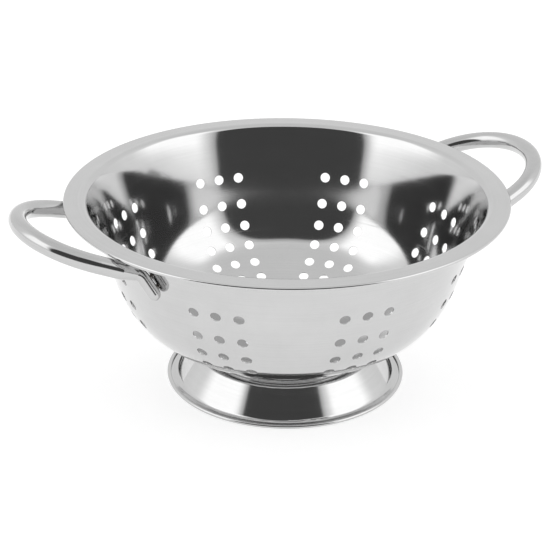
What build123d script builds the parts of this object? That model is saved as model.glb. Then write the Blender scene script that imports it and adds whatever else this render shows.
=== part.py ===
from build123d import *
import math
import os

# Footed colander: a perforated pressed bowl on a foot ring, with two handles of bent tube.
# The origin is the centre of the foot on the floor, Z is up and the handles lie along X.

# Sizes of the bowl (millimetres, degrees)
rim_diameter = 221.0  # over the rolled edge
bowl_depth = 87.0  # top of the flange to the underside of the base
base_lift = 13.0  # floor to the underside of the base
sheet = 0.6
flange_width = 10.3  # rolled edge to the line of the wall at flange level
fold_radius = 2.4  # under the fold between wall and flange
wall_lean = 19.1  # wall from the vertical
knuckle_radius = 43.0  # between wall and base
cap_radius = 133.0  # domed base
bead_bore = 0.8  # hollow inside the rolled edge
bead_turn = 250.0  # how far the edge is rolled

# Sizes of the holes
hole_diameter = 5.2
cluster_count = 8
column_count = 3
column_pitch = 11.3
row_shares = (0.193, 0.291, 0.373, 0.449, 0.521, 0.59)  # of the wall line, from the mouth down
base_ring_count = 2
base_ring_pitch = 9.0
holes_per_ring = 6  # in the first ring, twice as many in the second

# Sizes of the foot ring
foot_diameter = 122.7  # over its rolled edge
foot_sheet = 0.6
foot_bead_bore = 0.9
lip_width = 5.6  # flat lip with its rolled edge
neck_radius = 46.2  # top of the flared wall
neck_height = 15.0  # floor to the ledge at the top of the flared wall
collar_radius = 41.0  # upright collar between that ledge and the bowl
weld_radius = 37.5  # circle of the foot's spot welds
land_width = 7.0  # part of the ring that lies along the bowl, half of it inside the welds
land_bend_radius = 1.6
collar_bend_radius = 1.2
neck_bend_radius = 1.0
cove_radius = 3.0  # between the flared wall and the lip

# Sizes of the handles
bar_diameter = 8.6
bar_wall = 0.8
handle_reach = 25.2  # from the rim's edge out to the bar's centre line
end_radius = 37.0  # of the bar's centre line round the outer end
arm_splay = 14.0  # each arm away from the handle's middle line
handle_rise = 19.0  # the loop climbs outwards
rim_clearance = 0.25  # bar below the rolled edge
leg_diameter = 6.1  # where the end of the bar is drawn thinner
taper_length = 7.0
bend_radius = 5.0
leg_length = 14.0  # from the corner of the bend to the tip
leg_splay = 26.0  # leg away from the line of the wall

# Sizes of the spot welds
weld_gap = 0.3  # between the welded pieces
foot_weld_count = 8
foot_weld_diameter = 4.0
leg_weld_diameter = 2.4
leg_weld_shares = (0.2, 0.8)  # of the straight part of the leg

# Heights and radii that follow
rim_radius = rim_diameter / 2
foot_radius = foot_diameter / 2
rim_height = base_lift + bowl_depth
mouth_radius = rim_radius - flange_width
bead_radius = bead_bore / 2 + sheet
foot_bead_radius = foot_bead_bore / 2 + foot_sheet
wall_punch_depth = 4 * sheet
base_punch_depth = bowl_depth / 4  # well above the dome under the outer ring of holes
lean = math.radians(wall_lean)


def knuckle_centre():
    """Centre of the arc that touches both the wall and the domed base, as radius and height."""
    start = Vector(
        mouth_radius - knuckle_radius * math.cos(lean),
        rim_height + knuckle_radius * math.sin(lean),
    )
    down = Vector(-math.sin(lean), -math.cos(lean))
    to_start = start - Vector(0, base_lift + cap_radius)
    half = to_start.dot(down)
    rest = to_start.dot(to_start) - (cap_radius - knuckle_radius) ** 2
    return start + down * (math.sqrt(half * half - rest) - half)


# The wall line, from the middle of the base up to the fold, on the underside of the sheet
knuckle = knuckle_centre()
cap_angle = math.degrees(math.atan2(knuckle.X, base_lift + cap_radius - knuckle.Y))
knuckle_angle = 90 - wall_lean - cap_angle


def knuckle_points(start, along, radius):
    """Four points of the smooth curve that follows the knuckle's arc; it drills well at any radius."""
    start, along = Vector(start.X, start.Y), Vector(along.X, along.Y)
    turn = math.radians(knuckle_angle)
    across = Vector(-along.Y, along.X)
    finish = start + along * (radius * math.sin(turn)) + across * (radius * (1 - math.cos(turn)))
    onward = along * math.cos(turn) + across * math.sin(turn)
    reach = radius * math.tan(turn / 4) * 4 / 3
    return start, start + along * reach, finish - onward * reach, finish


with BuildLine() as wall_line:
    cap_arc = JernArc((0, base_lift), (1, 0), cap_radius, cap_angle)
    knuckle_curve = Bezier(*knuckle_points(cap_arc @ 1, cap_arc % 1, knuckle_radius))
    Line(knuckle_curve @ 1, (mouth_radius, rim_height))

wall_wire = wall_line.wire()
wall_length = wall_wire.length


def on_wall(share):
    """Point and inward normal of the wall line, a share of its length below the mouth."""
    place = wall_length * (1 - share)
    point = wall_wire.position_at(place, position_mode=PositionMode.LENGTH)
    along = wall_wire.tangent_at(place, position_mode=PositionMode.LENGTH)
    return point, Vector(-along.Y, along.X)


def hole_plane(radius, height, inward, angle):
    """Plane of a hole that is punched square to the sheet, at an angle round the bowl."""
    turn = math.radians(angle)
    place = Vector(radius * math.cos(turn), radius * math.sin(turn), height)
    axis = Vector(inward.X * math.cos(turn), inward.X * math.sin(turn), inward.Y)
    return Plane(place, z_dir=axis)


def underside_of_bowl(radius):
    """Height of the domed base above the floor."""
    return base_lift + cap_radius - math.sqrt(cap_radius ** 2 - radius ** 2)


# Holes of the wall: clusters of short columns, then rings of holes in the base
wall_holes = []
for share in row_shares:
    spot, normal = on_wall(share)
    for cluster in range(cluster_count):
        for column in range(column_count):
            aside = (column - (column_count - 1) / 2) * column_pitch
            angle = cluster * 360 / cluster_count + math.degrees(aside / spot.X)
            wall_holes.append(hole_plane(spot.X, spot.Y, normal, angle))

base_holes = [Vector(0, 0)]
for ring in range(1, base_ring_count + 1):
    for hole in range(ring * holes_per_ring):
        turn = 2 * math.pi * hole / (ring * holes_per_ring)
        base_holes.append(Vector(math.cos(turn), math.sin(turn)) * (ring * base_ring_pitch))

# Bowl: one sheet from the middle of the base to the rolled edge
fold_setback = fold_radius * math.tan((math.pi / 2 - lean) / 2)
flange_underside = rim_height - sheet
fold_corner = Vector(mouth_radius - sheet * math.tan(lean), flange_underside)
fold_start = fold_corner - Vector(math.sin(lean), math.cos(lean)) * fold_setback
wall_inward = Vector(-math.cos(lean), math.sin(lean))


def bowl_face(lift):
    """Line of one face of the sheet, a lift above the underside; returns its two ends."""
    base = JernArc((0, base_lift + lift), (1, 0), cap_radius - lift, cap_angle)
    shoulder = Bezier(*knuckle_points(base @ 1, base % 1, knuckle_radius - lift))
    wall = Line(shoulder @ 1, fold_start + wall_inward * lift)
    fold = JernArc(wall @ 1, wall % 1, fold_radius + lift, -(90 - wall_lean))
    flange = Line(fold @ 1, (rim_radius - bead_radius, flange_underside + lift))
    bead = JernArc(flange @ 1, flange % 1, bead_bore / 2 + lift, -bead_turn)
    return base @ 0, bead @ 1


with BuildPart() as bowl:
    with BuildSketch(Plane.XZ) as bowl_section:
        with BuildLine():
            under_middle, under_end = bowl_face(0)
            upper_middle, upper_end = bowl_face(sheet)
            Line(under_middle, upper_middle)
            Line(under_end, upper_end)
        make_face()
    revolve(axis=Axis.Z)
    with Locations(*wall_holes):
        Cylinder(hole_diameter / 2, wall_punch_depth, mode=Mode.SUBTRACT)
    with BuildSketch(Plane.XY.offset(base_lift - sheet)):
        with Locations(*base_holes):
            Circle(hole_diameter / 2)
    extrude(amount=base_punch_depth, mode=Mode.SUBTRACT)
bowl.part.label = "bowl"

# Foot ring: the land along the bowl, the collar, the ledge, the flared wall and the lip on the floor
land_slope = math.asin(weld_radius / cap_radius)
land_below = weld_gap + foot_sheet / 2
land_middle = Vector(
    weld_radius + land_below * math.sin(land_slope),
    underside_of_bowl(weld_radius) - land_below * math.cos(land_slope),
)
land_half = Vector(math.cos(land_slope), math.sin(land_slope)) * (land_width / 2)
land_inner = land_middle - land_half
land_run = (collar_radius - land_middle.X) / math.cos(land_slope)
land_corner = land_middle + Vector(math.cos(land_slope), math.sin(land_slope)) * land_run

with BuildPart() as foot_ring:
    with BuildSketch(Plane.XZ) as foot_section:
        with BuildLine():
            ring_line = FilletPolyline(
                land_inner,
                land_corner,
                (collar_radius, neck_height),
                (neck_radius, neck_height),
                (foot_radius - lip_width, foot_sheet / 2),
                (foot_radius - foot_bead_radius, foot_sheet / 2),
                radius=(land_bend_radius, collar_bend_radius, neck_bend_radius, cove_radius),
            )
            JernArc(ring_line @ 1, ring_line % 1, (foot_bead_bore + foot_sheet) / 2, bead_turn)
            offset(amount=foot_sheet / 2)
        make_face()
    revolve(axis=Axis.Z)
foot_ring.part.label = "foot_ring"

# Handle: the centre line of the right one, in a plane that climbs outwards
rise = math.radians(handle_rise)
splay = math.radians(arm_splay)
outward = Vector(math.cos(rise), 0, math.sin(rise))
sideways = Vector(0, 1, 0)
arm_inward = sideways * math.sin(splay) - outward * math.cos(splay)

# Half the spread of the arms is a straight function of the distance from the bowl's axis
end_reach = rim_radius + handle_reach
end_centre = end_reach - end_radius * math.cos(rise)
spread_slope = math.tan(splay) / math.cos(rise)
spread_start = end_radius / math.cos(splay) + end_centre * spread_slope

# The arms pass under the rolled edge where that spread meets the rim's circle
rim_square = 1 + spread_slope ** 2
rim_half = spread_start * spread_slope
rim_rest = spread_start ** 2 - rim_radius ** 2
arm_out = (rim_half + math.sqrt(rim_half ** 2 - rim_square * rim_rest)) / rim_square
arm_height = rim_height - 2 * bead_radius - (bar_diameter / 2 + rim_clearance) / math.cos(rise)


def on_loop(out, aside):
    """Point of the loop's plane, at a distance from the bowl's axis and to one side."""
    return Vector(out, aside, arm_height + (out - arm_out) * math.tan(rise))


arm_end = on_loop(end_centre, 0) + outward * (end_radius * math.sin(splay))
arm_end += sideways * (end_radius * math.cos(splay))
loop_tip = on_loop(end_reach, 0)

# The corner of the bend: where the arm's line comes within a leg's half and the gap of the wall
leg_line = mouth_radius + (leg_diameter / 2 + weld_gap) / math.cos(lean)
slope = math.tan(lean)
cone_out = leg_line + (arm_end.Z - rim_height) * slope
cone_step = arm_inward.Z * slope
square = arm_inward.X ** 2 + arm_inward.Y ** 2 - cone_step ** 2
linear = arm_end.X * arm_inward.X + arm_end.Y * arm_inward.Y - cone_out * cone_step
constant = arm_end.X ** 2 + arm_end.Y ** 2 - cone_out ** 2
arm_length = (-linear - math.sqrt(linear ** 2 - square * constant)) / square
bend_corner = arm_end + arm_inward * arm_length

# The leg runs down the wall and a little away from the handle's middle
leg_turn = math.atan2(bend_corner.Y, bend_corner.X)
wall_out = Vector(math.cos(leg_turn), math.sin(leg_turn), 0)
wall_round = Vector(-math.sin(leg_turn), math.cos(leg_turn), 0)
wall_down = -wall_out * math.sin(lean) - Vector(0, 0, 1) * math.cos(lean)
wall_normal = wall_out * math.cos(lean) - Vector(0, 0, 1) * math.sin(lean)
leg_aside = math.radians(leg_splay)
leg_down = wall_down * math.cos(leg_aside) + wall_round * math.sin(leg_aside)
bend_angle = math.radians(arm_inward.get_angle(leg_down))
bend_setback = bend_radius * math.tan(bend_angle / 2)
bend_start = bend_corner - arm_inward * bend_setback
bend_stop = bend_corner + leg_down * bend_setback
taper_start = bend_start - arm_inward * taper_length
leg_tip = bend_corner + leg_down * (leg_length - leg_diameter / 2)


def bar(loop_radius, leg_radius):
    """Round bar along the whole centre line of the right handle, thinner in its legs."""
    with BuildPart() as shape:
        with BuildLine() as loop_path:
            straight = Line(taper_start, arm_end)
            TangentArc(straight @ 1, loop_tip, tangent=straight % 1)
        with BuildSketch(Plane(taper_start, z_dir=-arm_inward)):
            Circle(loop_radius)
        sweep(path=loop_path.wire())
        with BuildSketch(Plane(taper_start, z_dir=arm_inward)):
            Circle(loop_radius)
        with BuildSketch(Plane(bend_start, z_dir=arm_inward)):
            Circle(leg_radius)
        loft()
        with BuildLine() as leg_path:
            bend = TangentArc(bend_start, bend_stop, tangent=arm_inward)
            Line(bend @ 1, leg_tip)
        with BuildSketch(Plane(bend_start, z_dir=arm_inward)):
            Circle(leg_radius)
        sweep(path=leg_path.wire())
        with Locations(leg_tip):
            Sphere(leg_radius)
        mirror(about=Plane.XZ)
    return shape.part


handle_outside = bar(bar_diameter / 2, leg_diameter / 2)

with BuildPart() as handle_right:
    add(handle_outside)
    add(bar(bar_diameter / 2 - bar_wall, leg_diameter / 2 - bar_wall), mode=Mode.SUBTRACT)
handle_right.part.label = "handle_right"

with BuildPart() as handle_left:
    mirror(handle_right.part, about=Plane.YZ)
handle_left.part.label = "handle_left"

# Spot welds of the foot: they fill the gap between the land and the domed base
with BuildPart() as foot_welds:
    weld_plane = Plane(
        origin=(weld_radius, 0, underside_of_bowl(weld_radius)),
        z_dir=(math.sin(land_slope), 0, -math.cos(land_slope)),
    )
    with PolarLocations(0, foot_weld_count, start_angle=180 / foot_weld_count):
        with Locations(weld_plane):
            Cylinder(foot_weld_diameter / 2, 2 * weld_gap + foot_sheet)
    add(bowl.part, mode=Mode.SUBTRACT)
    add(foot_ring.part, mode=Mode.SUBTRACT)
foot_welds.part.label = "foot_welds"

# Spot welds of the handles: they fill the gap between each leg and the wall
leg_straight = leg_length - leg_diameter / 2 - bend_setback
leg_weld_length = leg_diameter / 2 + weld_gap + sheet / 2

with BuildPart() as handle_welds:
    for share in leg_weld_shares:
        weld_middle = bend_stop + leg_down * (leg_straight * share)
        with BuildSketch(Plane(weld_middle, z_dir=-wall_normal)):
            Circle(leg_weld_diameter / 2)
        extrude(amount=leg_weld_length)
    mirror(about=Plane.XZ)
    mirror(about=Plane.YZ)
    add(bowl.part, mode=Mode.SUBTRACT)
    add(handle_outside, mode=Mode.SUBTRACT)
    add(handle_outside.mirror(Plane.YZ), mode=Mode.SUBTRACT)
handle_welds.part.label = "handle_welds"

os.makedirs("parts", exist_ok=True)
for piece in (bowl, foot_ring, handle_left, handle_right, foot_welds, handle_welds):
    export_step(piece.part, f"parts/{piece.part.label}.step")
    print(piece.part.label, len(piece.part.solids()), "solids", round(piece.part.volume, 1), "mm3")
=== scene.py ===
import bpy
import math
from mathutils import Matrix, Vector
from mathutils.geometry import delaunay_2d_cdt


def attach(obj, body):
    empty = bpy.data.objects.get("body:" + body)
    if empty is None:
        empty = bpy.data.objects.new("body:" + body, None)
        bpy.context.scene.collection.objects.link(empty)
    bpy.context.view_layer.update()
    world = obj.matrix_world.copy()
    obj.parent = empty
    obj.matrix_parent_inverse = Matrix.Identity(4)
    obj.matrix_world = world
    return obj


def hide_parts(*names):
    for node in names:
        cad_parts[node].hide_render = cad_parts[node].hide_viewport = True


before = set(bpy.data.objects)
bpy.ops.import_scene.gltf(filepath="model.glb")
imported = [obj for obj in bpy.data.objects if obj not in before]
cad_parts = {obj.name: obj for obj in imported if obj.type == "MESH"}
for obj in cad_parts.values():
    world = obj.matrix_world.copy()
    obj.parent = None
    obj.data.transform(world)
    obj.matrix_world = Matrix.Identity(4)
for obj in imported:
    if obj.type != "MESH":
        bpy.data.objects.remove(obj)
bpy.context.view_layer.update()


# shader maths written as plain expressions
class Sock:
    def __init__(self, tree, socket):
        self.tree = tree
        self.socket = socket

    def combine(self, operation, *values):
        node = addNode(self.tree, "ShaderNodeMath", {"operation": operation}, dict(enumerate(values)))
        return Sock(self.tree, node.outputs[0])

    def __add__(self, other):
        return self.combine("ADD", self, other)

    def __radd__(self, other):
        return self.combine("ADD", other, self)

    def __sub__(self, other):
        return self.combine("SUBTRACT", self, other)

    def __rsub__(self, other):
        return self.combine("SUBTRACT", other, self)

    def __mul__(self, other):
        return self.combine("MULTIPLY", self, other)

    def __rmul__(self, other):
        return self.combine("MULTIPLY", other, self)

    def __truediv__(self, other):
        return self.combine("DIVIDE", self, other)

    def __pow__(self, other):
        return self.combine("POWER", self, other)

    def __abs__(self):
        return self.combine("ABSOLUTE", self)

    def angleTo(self, other):
        return self.combine("ARCTAN2", self, other)

    def smooth(self, low, high):
        node = addNode(self.tree, "ShaderNodeMapRange", {"interpolation_type": "SMOOTHSTEP"},
                       {"Value": self, "From Min": low, "From Max": high})
        return Sock(self.tree, node.outputs["Result"])


def addNode(tree, kind, settings=None, sockets=None):
    node = tree.nodes.new(kind)
    for name, value in (settings or {}).items():
        setattr(node, name, value)
    for name, value in (sockets or {}).items():
        if isinstance(value, Sock):
            tree.links.new(value.socket, node.inputs[name])
        else:
            node.inputs[name].default_value = value
    return node


def outOf(node, name=0):
    return Sock(node.id_data, node.outputs[name])


def emptyTree(owner):
    owner.use_nodes = True
    owner.node_tree.nodes.clear()
    return owner.node_tree


def surface(tree, sockets):
    shader = addNode(tree, "ShaderNodeBsdfPrincipled", {}, sockets)
    addNode(tree, "ShaderNodeOutputMaterial", {}, {"Surface": outOf(shader)})


def noise(tree, vector, scale, detail=2.0, roughness=0.5):
    node = addNode(tree, "ShaderNodeTexNoise", {}, {
        "Vector": vector, "Scale": scale, "Detail": detail, "Roughness": roughness})
    return outOf(node, "Fac")


def bump(tree, height, distance, normal=None):
    sockets = {"Height": height, "Distance": distance, "Strength": 1.0}
    if normal:
        sockets["Normal"] = normal
    return outOf(addNode(tree, "ShaderNodeBump", {}, sockets), "Normal")


def grey(tree, value):
    return outOf(addNode(tree, "ShaderNodeCombineColor", {}, {0: value, 1: value, 2: value}))


# camera at the photograph's angle, in the frame of the colander
cameraView = {
    "lens": 105.42,
    "sensor": 36,
    "clipStart": 0.01,
    "place": (-0.3066, -0.6748, 0.4018),
    "turn": -24.0,
    "downwards": 25.1,
    "roll": 0.45,
}


def addCamera():
    data = bpy.data.cameras.new("camera")
    data.lens = cameraView["lens"]
    data.sensor_width = cameraView["sensor"]
    data.clip_start = cameraView["clipStart"]
    camera = bpy.data.objects.new("camera", data)
    bpy.context.scene.collection.objects.link(camera)
    aim = Matrix.Rotation(math.radians(cameraView["turn"]), 4, "Z")
    aim = aim @ Matrix.Rotation(math.radians(90 - cameraView["downwards"]), 4, "X")
    aim = aim @ Matrix.Rotation(math.radians(cameraView["roll"]), 4, "Z")
    camera.matrix_world = Matrix.Translation(Vector(cameraView["place"])) @ aim
    bpy.context.scene.camera = camera
    print("camera ready")


# soft white room with two brighter side panels and an unlit part behind the camera
studio = {
    "frontTurn": -114.0,  # the camera's side of the room
    "walls": 1.0,
    "back": 0.9,
    "backFrom": (105, 135),  # degrees to either side of the front
    "ceiling": 0.84,
    "ceilingFrom": (48, 66),  # degrees up
    "panels": 1.65,
    "panelsFrom": (48, 58),
    "panelsTo": (88, 108),
    "panelsFoot": (5, 18),
    "panelsTop": (46, 58),
    "dark": 0.075,
    "darkShift": 2.0,
    "darkHalfWidth": 46.5,
    "darkHeight": 52.5,
    "darkCorner": 3.8,  # 2 would be an ellipse, and more is nearer a rectangle
    "darkEdge": 0.08,
    "darkFoot": (0.5, 4.0),
    "edgeGrey": 0.62,
    "edgeReach": (1.0, 1.55),  # the grey edge round the dark part, in its own sizes
}


def addStudio():
    world = bpy.data.worlds.new("studio")
    bpy.context.scene.world = world
    tree = emptyTree(world)
    turn = math.radians(studio["frontTurn"])
    towards = outOf(addNode(tree, "ShaderNodeTexCoord"), "Generated")

    def along(axis):
        node = addNode(tree, "ShaderNodeVectorMath", {"operation": "DOT_PRODUCT"}, {0: towards, 1: axis})
        return outOf(node, "Value")

    front = along((math.cos(turn), math.sin(turn), 0))
    right = along((-math.sin(turn), math.cos(turn), 0))
    height = along((0, 0, 1))
    degrees = 180 / math.pi
    side = right.angleTo(front) * degrees
    level = (front * front + right * right) ** 0.5
    lift = height.angleTo(level) * degrees
    back = abs(side).smooth(*studio["backFrom"])
    light = studio["walls"] + back * (studio["back"] - studio["walls"])
    panel = abs(side).smooth(*studio["panelsFrom"]) * (1 - abs(side).smooth(*studio["panelsTo"]))
    panel = panel * lift.smooth(*studio["panelsFoot"]) * (1 - lift.smooth(*studio["panelsTop"]))
    light = light + panel * (studio["panels"] - studio["walls"])
    ceiling = lift.smooth(*studio["ceilingFrom"])
    light = light * (1 - ceiling) + ceiling * studio["ceiling"]
    across = abs(side + studio["darkShift"]) / studio["darkHalfWidth"]
    upwards = abs(lift) / studio["darkHeight"]
    reach = across ** studio["darkCorner"] + upwards ** studio["darkCorner"]
    edge = 1 - reach.smooth(*studio["edgeReach"])
    light = light * (1 - edge * (1 - studio["edgeGrey"]))
    dark = 1 - reach.smooth(1 - studio["darkEdge"], 1 + studio["darkEdge"])
    dark = dark * lift.smooth(*studio["darkFoot"])
    light = light * (1 - dark) + dark * studio["dark"]
    seen = outOf(addNode(tree, "ShaderNodeLightPath"), "Is Camera Ray")
    room = addNode(tree, "ShaderNodeBackground", {}, {"Color": grey(tree, light), "Strength": 1.0})
    plain = addNode(tree, "ShaderNodeBackground", {}, {"Color": (1, 1, 1, 1), "Strength": 1.0})
    mixed = addNode(tree, "ShaderNodeMixShader", {}, {0: seen, 1: outOf(room), 2: outOf(plain)})
    addNode(tree, "ShaderNodeOutputWorld", {}, {"Surface": outOf(mixed)})
    print("studio ready")


# pale table, lit a little from below as a product photographer's table is
table = {
    "halfSize": 4.0,
    "colour": (0.55, 0.55, 0.55, 1),
    "roughness": 0.9,
    "glow": 0.65,
}


def addTable():
    half = table["halfSize"]
    corners = [(-half, -half, 0), (half, -half, 0), (half, half, 0), (-half, half, 0)]
    mesh = bpy.data.meshes.new("table")
    mesh.from_pydata(corners, [], [(0, 1, 2, 3)])
    floor = bpy.data.objects.new("table", mesh)
    bpy.context.scene.collection.objects.link(floor)
    material = bpy.data.materials.new("paleTable")
    tree = emptyTree(material)
    surface(tree, {
        "Base Color": table["colour"],
        "Roughness": table["roughness"],
        "Specular IOR Level": 0.0,
        "Emission Color": (1, 1, 1, 1),
        "Emission Strength": table["glow"],
    })
    mesh.materials.append(material)
    print("table ready")


# polished stainless steel: a colour and gloss that drift a little, polishing lines, soft dents, rubbed spots
steelLook = {
    "bowl": {"grey": 0.6, "roughness": 0.09, "lines": 0.0000026, "dents": 0.00005, "dentScale": 34.0},
    "foot": {"grey": 0.6, "roughness": 0.09, "lines": 0.000002, "dents": 0.00002, "dentScale": 60.0},
    "handle": {"grey": 0.55, "roughness": 0.1, "lines": 0.000001, "dents": 0.00001, "dentScale": 90.0},
    "linesPerMetre": 1900.0,
    "linesRound": 1.3,  # how fast they change along a ring, on turned pieces
    "linesAlong": 60.0,  # and along a line, on the handles
    "cloudScale": 55.0,
    "drift": 0.12,
    "glossRange": 0.5,
    "rub": 0.1,
    "rubScale": 0.23,
    "rubFrom": (0.6, 0.78),
    "rubClouds": (0.4, 0.7),
    "noiseMiddle": 0.5,
    "axisRadius": 0.001,  # so that nothing is divided by zero on the axis
}


# place on a piece; turned pieces get one that runs round the axis, so that the polishing lines are rings
def placeOn(tree, turned):
    place = outOf(addNode(tree, "ShaderNodeTexCoord"), "Object")
    parts = addNode(tree, "ShaderNodeSeparateXYZ", {}, {"Vector": place})
    x, y, z = (outOf(parts, axis) for axis in "XYZ")
    if turned:
        radius = (x * x + y * y + steelLook["axisRadius"] ** 2) ** 0.5
        turns = steelLook["linesRound"]
        across = (z + radius) * steelLook["linesPerMetre"]
        around = {0: x / radius * turns, 1: y / radius * turns, 2: across}
    else:
        coarse, fine = steelLook["linesAlong"], steelLook["linesPerMetre"]
        around = {0: x * coarse, 1: y * coarse, 2: z * fine}
    return place, outOf(addNode(tree, "ShaderNodeCombineXYZ", {}, around))


def steel(name, look, turned):
    material = bpy.data.materials.new(name)
    tree = emptyTree(material)
    place, around = placeOn(tree, turned)
    lines = noise(tree, around, scale=1.0, detail=3.0, roughness=0.6)
    dents = noise(tree, place, look["dentScale"], detail=1.0)
    clouds = noise(tree, place, steelLook["cloudScale"], detail=4.0, roughness=0.6)
    rubbed = noise(tree, around, steelLook["rubScale"]).smooth(*steelLook["rubFrom"])
    rubbed = rubbed * clouds.smooth(*steelLook["rubClouds"])
    drift, spread, middle = steelLook["drift"], steelLook["glossRange"], steelLook["noiseMiddle"]
    shade = look["grey"] * (1 + drift * (clouds - middle) + drift * (lines - middle))
    gloss = look["roughness"] * (1 - spread / 2 + spread * clouds) + steelLook["rub"] * rubbed
    normal = bump(tree, dents, look["dents"])
    normal = bump(tree, lines, look["lines"], normal)
    surface(tree, {
        "Base Color": grey(tree, shade),
        "Metallic": 1.0,
        "Roughness": gloss,
        "Normal": normal,
    })
    return material


# dull spot welds, a little browned by the heat
weldLook = {
    "cool": (0.42, 0.41, 0.4, 1),
    "hot": (0.24, 0.2, 0.16, 1),
    "tintScale": 300.0,
    "tintFrom": (0.35, 0.7),
    "roughness": 0.45,
    "roughnessRange": 0.2,
    "grainScale": 900.0,
    "ripple": 0.00003,
}


def weldSteel():
    material = bpy.data.materials.new("weldSteel")
    tree = emptyTree(material)
    place = outOf(addNode(tree, "ShaderNodeTexCoord"), "Object")
    grains = noise(tree, place, weldLook["grainScale"], detail=3.0)
    heat = noise(tree, place, weldLook["tintScale"]).smooth(*weldLook["tintFrom"])
    tint = addNode(tree, "ShaderNodeMix", {"data_type": "RGBA"}, {
        "Factor": heat, 6: weldLook["cool"], 7: weldLook["hot"]})
    surface(tree, {
        "Base Color": outOf(tint, 2),
        "Metallic": 1.0,
        "Roughness": weldLook["roughness"] + weldLook["roughnessRange"] * (grains - steelLook["noiseMiddle"]),
        "Normal": bump(tree, grains, weldLook["ripple"]),
    })
    return material


# points in the same cell of the mesh become one; the shift keeps round sizes off the cells' edges
meshWeld = {
    "cells": 100000,  # per metre
    "shift": 0.137,
}


# mesh of a piece, with the exact normal of the drawn surface at each point
class PieceMesh:
    def __init__(self, name):
        self.name = name
        self.places = []
        self.normals = []
        self.faces = []
        self.seen = {}

    def point(self, place, normal):
        key = tuple(round(c * meshWeld["cells"] + meshWeld["shift"]) for c in place)
        if key not in self.seen:
            self.seen[key] = len(self.places)
            self.places.append(Vector(place))
            self.normals.append(Vector(normal).normalized())
        return self.seen[key]

    def face(self, corners):
        corners = [c for i, c in enumerate(corners) if c != corners[i - 1]]
        if len(corners) < 3:
            return
        first, last = self.places[corners[0]], self.places[corners[-1]]
        flat = sum(((self.places[a] - first).cross(self.places[b] - first)
                    for a, b in zip(corners[1:], corners[2:])), Vector((0, 0, 0)))
        outwards = sum((self.normals[c] for c in corners), Vector((0, 0, 0)))
        self.faces.append(corners if flat.dot(outwards) > 0 else corners[::-1])

    # faces between two closed rings
    def band(self, before, after):
        for i in range(len(before)):
            j = (i + 1) % len(before)
            self.face([before[i], before[j], after[j], after[i]])

    def build(self, material, replaced):
        mesh = bpy.data.meshes.new(self.name)
        mesh.from_pydata(self.places, [], self.faces)
        mesh.update()
        mesh.shade_smooth()
        mesh.normals_split_custom_set_from_vertices(self.normals)
        mesh.materials.append(material)
        piece = bpy.data.objects.new(self.name, mesh)
        bpy.context.scene.collection.objects.link(piece)
        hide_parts(replaced)
        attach(piece, "root")
        print(self.name, "has", len(mesh.polygons), "faces")


# a line across a turned sheet: radius, height and heading after every step of its runs and bends
def walk(start, runs):
    radius, height, heading = start
    line = [start]
    for length, turn, steps in runs:
        half = turn / steps / 2
        chord = length / steps if turn == 0 else 2 * (length / turn) * math.sin(half)
        for step in range(steps):
            radius += chord * math.cos(heading + half)
            height += chord * math.sin(heading + half)
            heading += 2 * half
            line.append((radius, height, heading))
    return line


# a point of the sheet's section, beside the line, and which way the surface faces there
def beside(spot, lift, facing):
    radius, height, heading = spot
    across, upwards = -math.sin(heading), math.cos(heading)
    return radius + across * lift, height + upwards * lift, across * facing, upwards * facing


# the rounded end of a sheet, from its upper face to its lower one
def roundEnd(spot, sheet, steps):
    radius, height, heading = spot
    c, s = math.cos(heading), math.sin(heading)
    points = []
    for step in range(1, steps):
        turn = math.pi * step / steps
        along, lift = math.sin(turn), math.cos(turn)
        away = (c * along - s * lift, s * along + c * lift)
        points.append((radius + (away[0] - s) * sheet / 2, height + (away[1] + c) * sheet / 2, *away))
    return points


# a section turned round the axis
def aroundZ(mesh, section, steps):
    rings = []
    for radius, height, across, upwards in section:
        ring = []
        for step in range(steps):
            turn = 2 * math.pi * step / steps - math.pi / bowl["clusters"]  # starts where a sector does
            c, s = math.cos(turn), math.sin(turn)
            ring.append(mesh.point((radius * c, radius * s, height), (across * c, across * s, upwards)))
        rings.append(ring)
    for before, after in zip(rings, rings[1:]):
        mesh.band(before, after)


# angles evenly round a circle
def turnsOf(steps):
    return [2 * math.pi * k / steps for k in range(steps)]


# the bowl, with the sizes of its solid in metres and degrees
bowl = {
    "rimRadius": 0.1105,
    "rimHeight": 0.1,
    "baseLift": 0.013,
    "sheet": 0.0006,
    "flangeWidth": 0.0103,
    "foldRadius": 0.0024,
    "lean": 19.1,
    "knuckleRadius": 0.043,
    "capRadius": 0.133,
    "beadBore": 0.0008,
    "beadTurn": 250,
    "blend": 0.03,  # over which the knuckle runs out into the wall
    "flare": 5.0,  # extra lean under the fold, and the height that it takes
    "flareSpan": 0.0095,
    "holeRadius": 0.0026,
    "holeEdge": 0.0001,
    "holeSteps": 32,
    "clusters": 8,
    "columns": 3,
    "columnPitch": 0.0113,
    "rows": (0.193, 0.291, 0.373, 0.449, 0.521, 0.59),  # shares of the line, from the mouth down
    "baseRings": ((0, 1), (0.009, 6), (0.018, 12)),  # radius and number of holes
    "baseDisc": 0.024,
    "bendSteps": 600,
    "rimSteps": 256,
    "sectorSteps": 16,
    "foldSteps": 12,
    "flangeSteps": 4,
    "beadSteps": 28,
    "endSteps": 6,
    "meshPitch": 0.0018,
    "ringGap": 0.0009,  # from a hole to the ring of points round it
    "wallGap": 0.0015,  # from a hole to the grid of points
    "baseGap": 0.0012,
    "insideShare": 0.98,  # of the hole's edge: a triangle whose middle is nearer is in the hole
    "joinGap": 1e-9,
}


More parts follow.
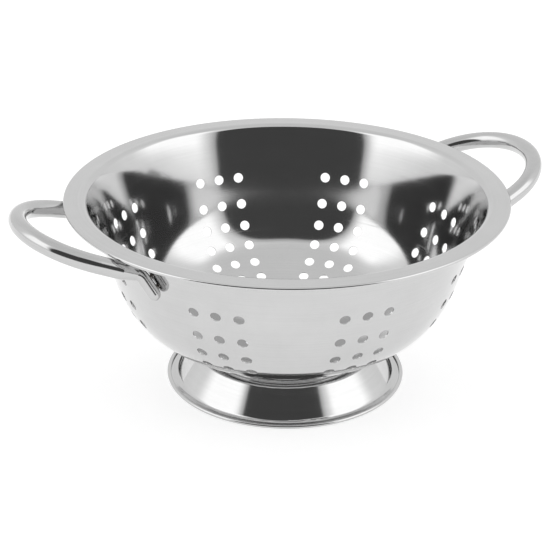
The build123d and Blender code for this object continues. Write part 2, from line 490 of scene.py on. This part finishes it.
class BowlLine:
    def __init__(self):
        self.lean = math.radians(bowl["lean"])
        self.mouth = bowl["rimRadius"] - bowl["flangeWidth"]
        knuckle, cap, lift, top = (bowl[k] for k in ("knuckleRadius", "capRadius", "baseLift", "rimHeight"))
        start = Vector((self.mouth - knuckle * math.cos(self.lean), top + knuckle * math.sin(self.lean)))
        down = Vector((-math.sin(self.lean), -math.cos(self.lean)))
        toStart = start - Vector((0, lift + cap))
        half = toStart.dot(down)
        rest = toStart.dot(toStart) - (cap - knuckle) ** 2
        self.centre = start + down * (math.sqrt(half * half - rest) - half)
        self.capAngle = math.atan2(self.centre.x, lift + cap - self.centre.y)
        self.capLength = cap * self.capAngle
        self.kneeLength = knuckle * (math.pi / 2 - self.lean - self.capAngle)
        self.wallStart = self.centre + knuckle * Vector((math.cos(self.lean), -math.sin(self.lean)))
        self.wallLength = (Vector((self.mouth, top)) - self.wallStart).length
        self.length = self.capLength + self.kneeLength + self.wallLength
        setback = bowl["foldRadius"] * math.tan((math.pi / 2 - self.lean) / 2)
        self.foldStart = self.length - bowl["sheet"] / math.cos(self.lean) - setback
        self.bendWall()

    # the wall's extra lean, out of the knuckle and under the fold, and how far that sets it outwards
    def bendWall(self):
        steps = bowl["bendSteps"]
        join, half = self.capLength + self.kneeLength, bowl["blend"] / 2
        self.bendStart = join - half
        self.bendSpan = self.foldStart - self.bendStart
        places = [self.bendStart + self.bendSpan * step / steps - join for step in range(steps + 1)]
        leans = [max(0, half - abs(place)) ** 2 / (4 * half * bowl["knuckleRadius"]) for place in places]
        flare = math.radians(bowl["flare"])
        leans = [lean + flare * max(0, 1 - (self.foldStart - join - place) / bowl["flareSpan"]) ** 2
                 for lean, place in zip(leans, places)]
        spare = 2 * sum(leans) / len(leans)  # taken off again between, so that the fold stays where it is
        self.bends, out = [], 0
        for step, lean in enumerate(leans):
            extra = lean - spare * math.sin(math.pi * step / steps) ** 2
            self.bends.append((extra, out))
            out += extra * self.bendSpan / steps

    # radius, height and heading at a length along the line
    def at(self, along):
        radius, height, heading = self.plainly(along)
        if along < self.bendStart:
            return radius, height, heading
        step = min((along - self.bendStart) / self.bendSpan, 1) * (len(self.bends) - 1)
        low = min(int(step), len(self.bends) - 2)
        part = step - low
        extra = self.bends[low][0] * (1 - part) + self.bends[low + 1][0] * part
        out = self.bends[low][1] * (1 - part) + self.bends[low + 1][1] * part
        return radius + out * math.sin(heading), height - out * math.cos(heading), heading - extra

    # the same before the wall is bent
    def plainly(self, along):
        if along < self.capLength:
            angle = along / bowl["capRadius"]
            drop = bowl["capRadius"] * (1 - math.cos(angle))
            return bowl["capRadius"] * math.sin(angle), bowl["baseLift"] + drop, angle
        if along < self.capLength + self.kneeLength:
            angle = self.capAngle + (along - self.capLength) / bowl["knuckleRadius"]
            return (self.centre.x + bowl["knuckleRadius"] * math.sin(angle),
                    self.centre.y - bowl["knuckleRadius"] * math.cos(angle), angle)
        along -= self.capLength + self.kneeLength
        heading = math.pi / 2 - self.lean
        return (self.wallStart.x + along * math.cos(heading),
                self.wallStart.y + along * math.sin(heading), heading)


# a sheet with round holes: flat points and hole rings become both faces of the sheet and the holes' walls
def cutSheet(mesh, points, holes, toSheet):
    edges = []
    flat = list(points)
    guard = []
    for ring, _, _ in holes:
        loop = ring(bowl["holeRadius"] + bowl["holeEdge"], bowl["holeSteps"])
        edges += [(len(flat) + k, len(flat) + (k + 1) % len(loop)) for k in range(len(loop))]
        flat += loop
        guard += ring(bowl["holeRadius"] + bowl["ringGap"], bowl["holeSteps"] // 2)
    flat += guard
    places, _, triangles, *_ = delaunay_2d_cdt([Vector(p) for p in flat], edges, [], 0, bowl["joinGap"])
    inside = bowl["holeRadius"] + bowl["holeEdge"] * bowl["insideShare"]
    low = [mesh.point(*toSheet(p, 0, -1)) for p in places]
    high = [mesh.point(*toSheet(p, bowl["sheet"], 1)) for p in places]
    for triangle in triangles:
        centre = sum((Vector(places[c]) for c in triangle), Vector((0, 0))) / 3
        if any(near(centre) < inside for _, _, near in holes):
            continue
        mesh.face([low[c] for c in triangle])
        mesh.face([high[c] for c in triangle])
    for ring, middle, _ in holes:
        outer = ring(bowl["holeRadius"] + bowl["holeEdge"], bowl["holeSteps"])
        inner = ring(bowl["holeRadius"], bowl["holeSteps"])
        edge, sheet = bowl["holeEdge"], bowl["sheet"]
        rings = [[mesh.point(*toSheet(p, 0, -1)) for p in outer]]
        for lift in (edge, sheet - edge):
            axis = Vector(toSheet(middle, lift, 1)[0])
            wall = []
            for p in inner:
                place = Vector(toSheet(p, lift, 1)[0])
                wall.append(mesh.point(place, axis - place))
            rings.append(wall)
        rings.append([mesh.point(*toSheet(p, sheet, 1)) for p in outer])
        for before, after in zip(rings, rings[1:]):
            mesh.band(before, after)


def makeBowl(material):
    line = BowlLine()
    mesh = PieceMesh("pressedBowl")
    discEdge = bowl["capRadius"] * math.asin(bowl["baseDisc"] / bowl["capRadius"])
    sector = 2 * math.pi / bowl["clusters"]
    flatRadius = line.mouth  # a sector is flattened at this radius

    def onSheet(along, angle, lift, facing):
        radius, height, across, upwards = beside(line.at(along), lift, facing)
        c, s = math.cos(angle), math.sin(angle)
        return (radius * c, radius * s, height), (across * c, across * s, upwards)

    # holes of one sector, and a grid of points clear of them
    spots = []
    for share in bowl["rows"]:
        along = line.length * (1 - share)
        radius = line.at(along)[0]
        for column in range(bowl["columns"]):
            aside = (column - (bowl["columns"] - 1) / 2) * bowl["columnPitch"]
            spots.append((along, aside / radius, radius))

    def wallHole(along, angle, radius):
        scale = flatRadius / radius

        def ring(size, steps):
            return [(angle * flatRadius + size * math.cos(t) * scale, along + size * math.sin(t))
                    for t in turnsOf(steps)]

        def near(p):
            return math.hypot((p[0] - angle * flatRadius) / scale, p[1] - along)
        return ring, (angle * flatRadius, along), near

    wallHoles = [wallHole(*spot) for spot in spots]
    rows = round((line.foldStart - discEdge) / bowl["meshPitch"])
    grid = []
    for row in range(rows + 1):
        along = discEdge + (line.foldStart - discEdge) * row / rows
        steps = bowl["rimSteps"] // bowl["clusters"] if row == rows else bowl["sectorSteps"]
        for step in range(steps + 1):
            p = (flatRadius * sector * (step / steps - 0.5), along)
            if all(near(p) > bowl["holeRadius"] + bowl["wallGap"] for _, _, near in wallHoles):
                grid.append(p)
    for turn in range(bowl["clusters"]):
        cutSheet(mesh, grid, wallHoles,
                 lambda p, lift, facing: onSheet(p[1], p[0] / flatRadius + turn * sector, lift, facing))

    # the middle of the base
    def baseHole(x, y):
        def ring(size, steps):
            return [(x + size * math.cos(t), y + size * math.sin(t)) for t in turnsOf(steps)]
        return ring, (x, y), lambda p: math.hypot(p[0] - x, p[1] - y)

    baseHoles = []
    for radius, count in bowl["baseRings"]:
        baseHoles += [baseHole(radius * math.cos(t), radius * math.sin(t)) for t in turnsOf(count)]
    disc = []
    ringCount = round(bowl["baseDisc"] / bowl["meshPitch"])
    for ring in range(ringCount + 1):
        radius = bowl["baseDisc"] * ring / ringCount
        steps = bowl["sectorSteps"] * bowl["clusters"] if ring == ringCount else max(1, 6 * ring)
        for step in range(steps):
            turn = 2 * math.pi * step / steps - sector / 2
            p = (radius * math.cos(turn), radius * math.sin(turn))
            if all(near(p) > bowl["holeRadius"] + bowl["baseGap"] for _, _, near in baseHoles):
                disc.append(p)

    def onBase(p, lift, facing):
        radius = math.hypot(*p)
        along = bowl["capRadius"] * math.asin(radius / bowl["capRadius"])
        return onSheet(along, math.atan2(p[1], p[0]), lift, facing)

    cutSheet(mesh, disc, baseHoles, onBase)

    # fold, flange and rolled edge
    foldStart = line.at(line.foldStart)
    drop = bowl["rimHeight"] - bowl["sheet"] - foldStart[1]
    foldRadius = drop / (1 - math.cos(foldStart[2]))
    beadRadius = bowl["beadBore"] / 2 + bowl["sheet"]
    flange = bowl["rimRadius"] - beadRadius - foldStart[0] - foldRadius * math.sin(foldStart[2])
    beadTurn = math.radians(bowl["beadTurn"])
    edge = walk(foldStart, [
        (foldRadius * foldStart[2], -foldStart[2], bowl["foldSteps"]),
        (flange, 0, bowl["flangeSteps"]),
        (bowl["beadBore"] / 2 * beadTurn, -beadTurn, bowl["beadSteps"]),
    ])
    section = [beside(spot, bowl["sheet"], 1) for spot in edge]
    section += roundEnd(edge[-1], bowl["sheet"], bowl["endSteps"])
    section += [beside(spot, 0, -1) for spot in reversed(edge)]
    aroundZ(mesh, section, bowl["rimSteps"])
    mesh.build(material, "bowl")


addCamera()
addStudio()
addTable()
bowlSteel = steel("bowlSteel", steelLook["bowl"], True)
footSteel = steel("footSteel", steelLook["foot"], True)
handleSteel = steel("handleSteel", steelLook["handle"], False)
welds = weldSteel()
finishes = {
    "bowl": bowlSteel,
    "foot_ring": footSteel,
    "handle_left": handleSteel,
    "handle_right": handleSteel,
    "foot_welds": welds,
    "handle_welds": welds,
}
for node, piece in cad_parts.items():
    piece.material_slots[0].material = finishes[node]
print("finishes ready")
makeBowl(bowlSteel)
bpy.context.scene.view_settings.view_transform = "Standard"
print("scene ready")
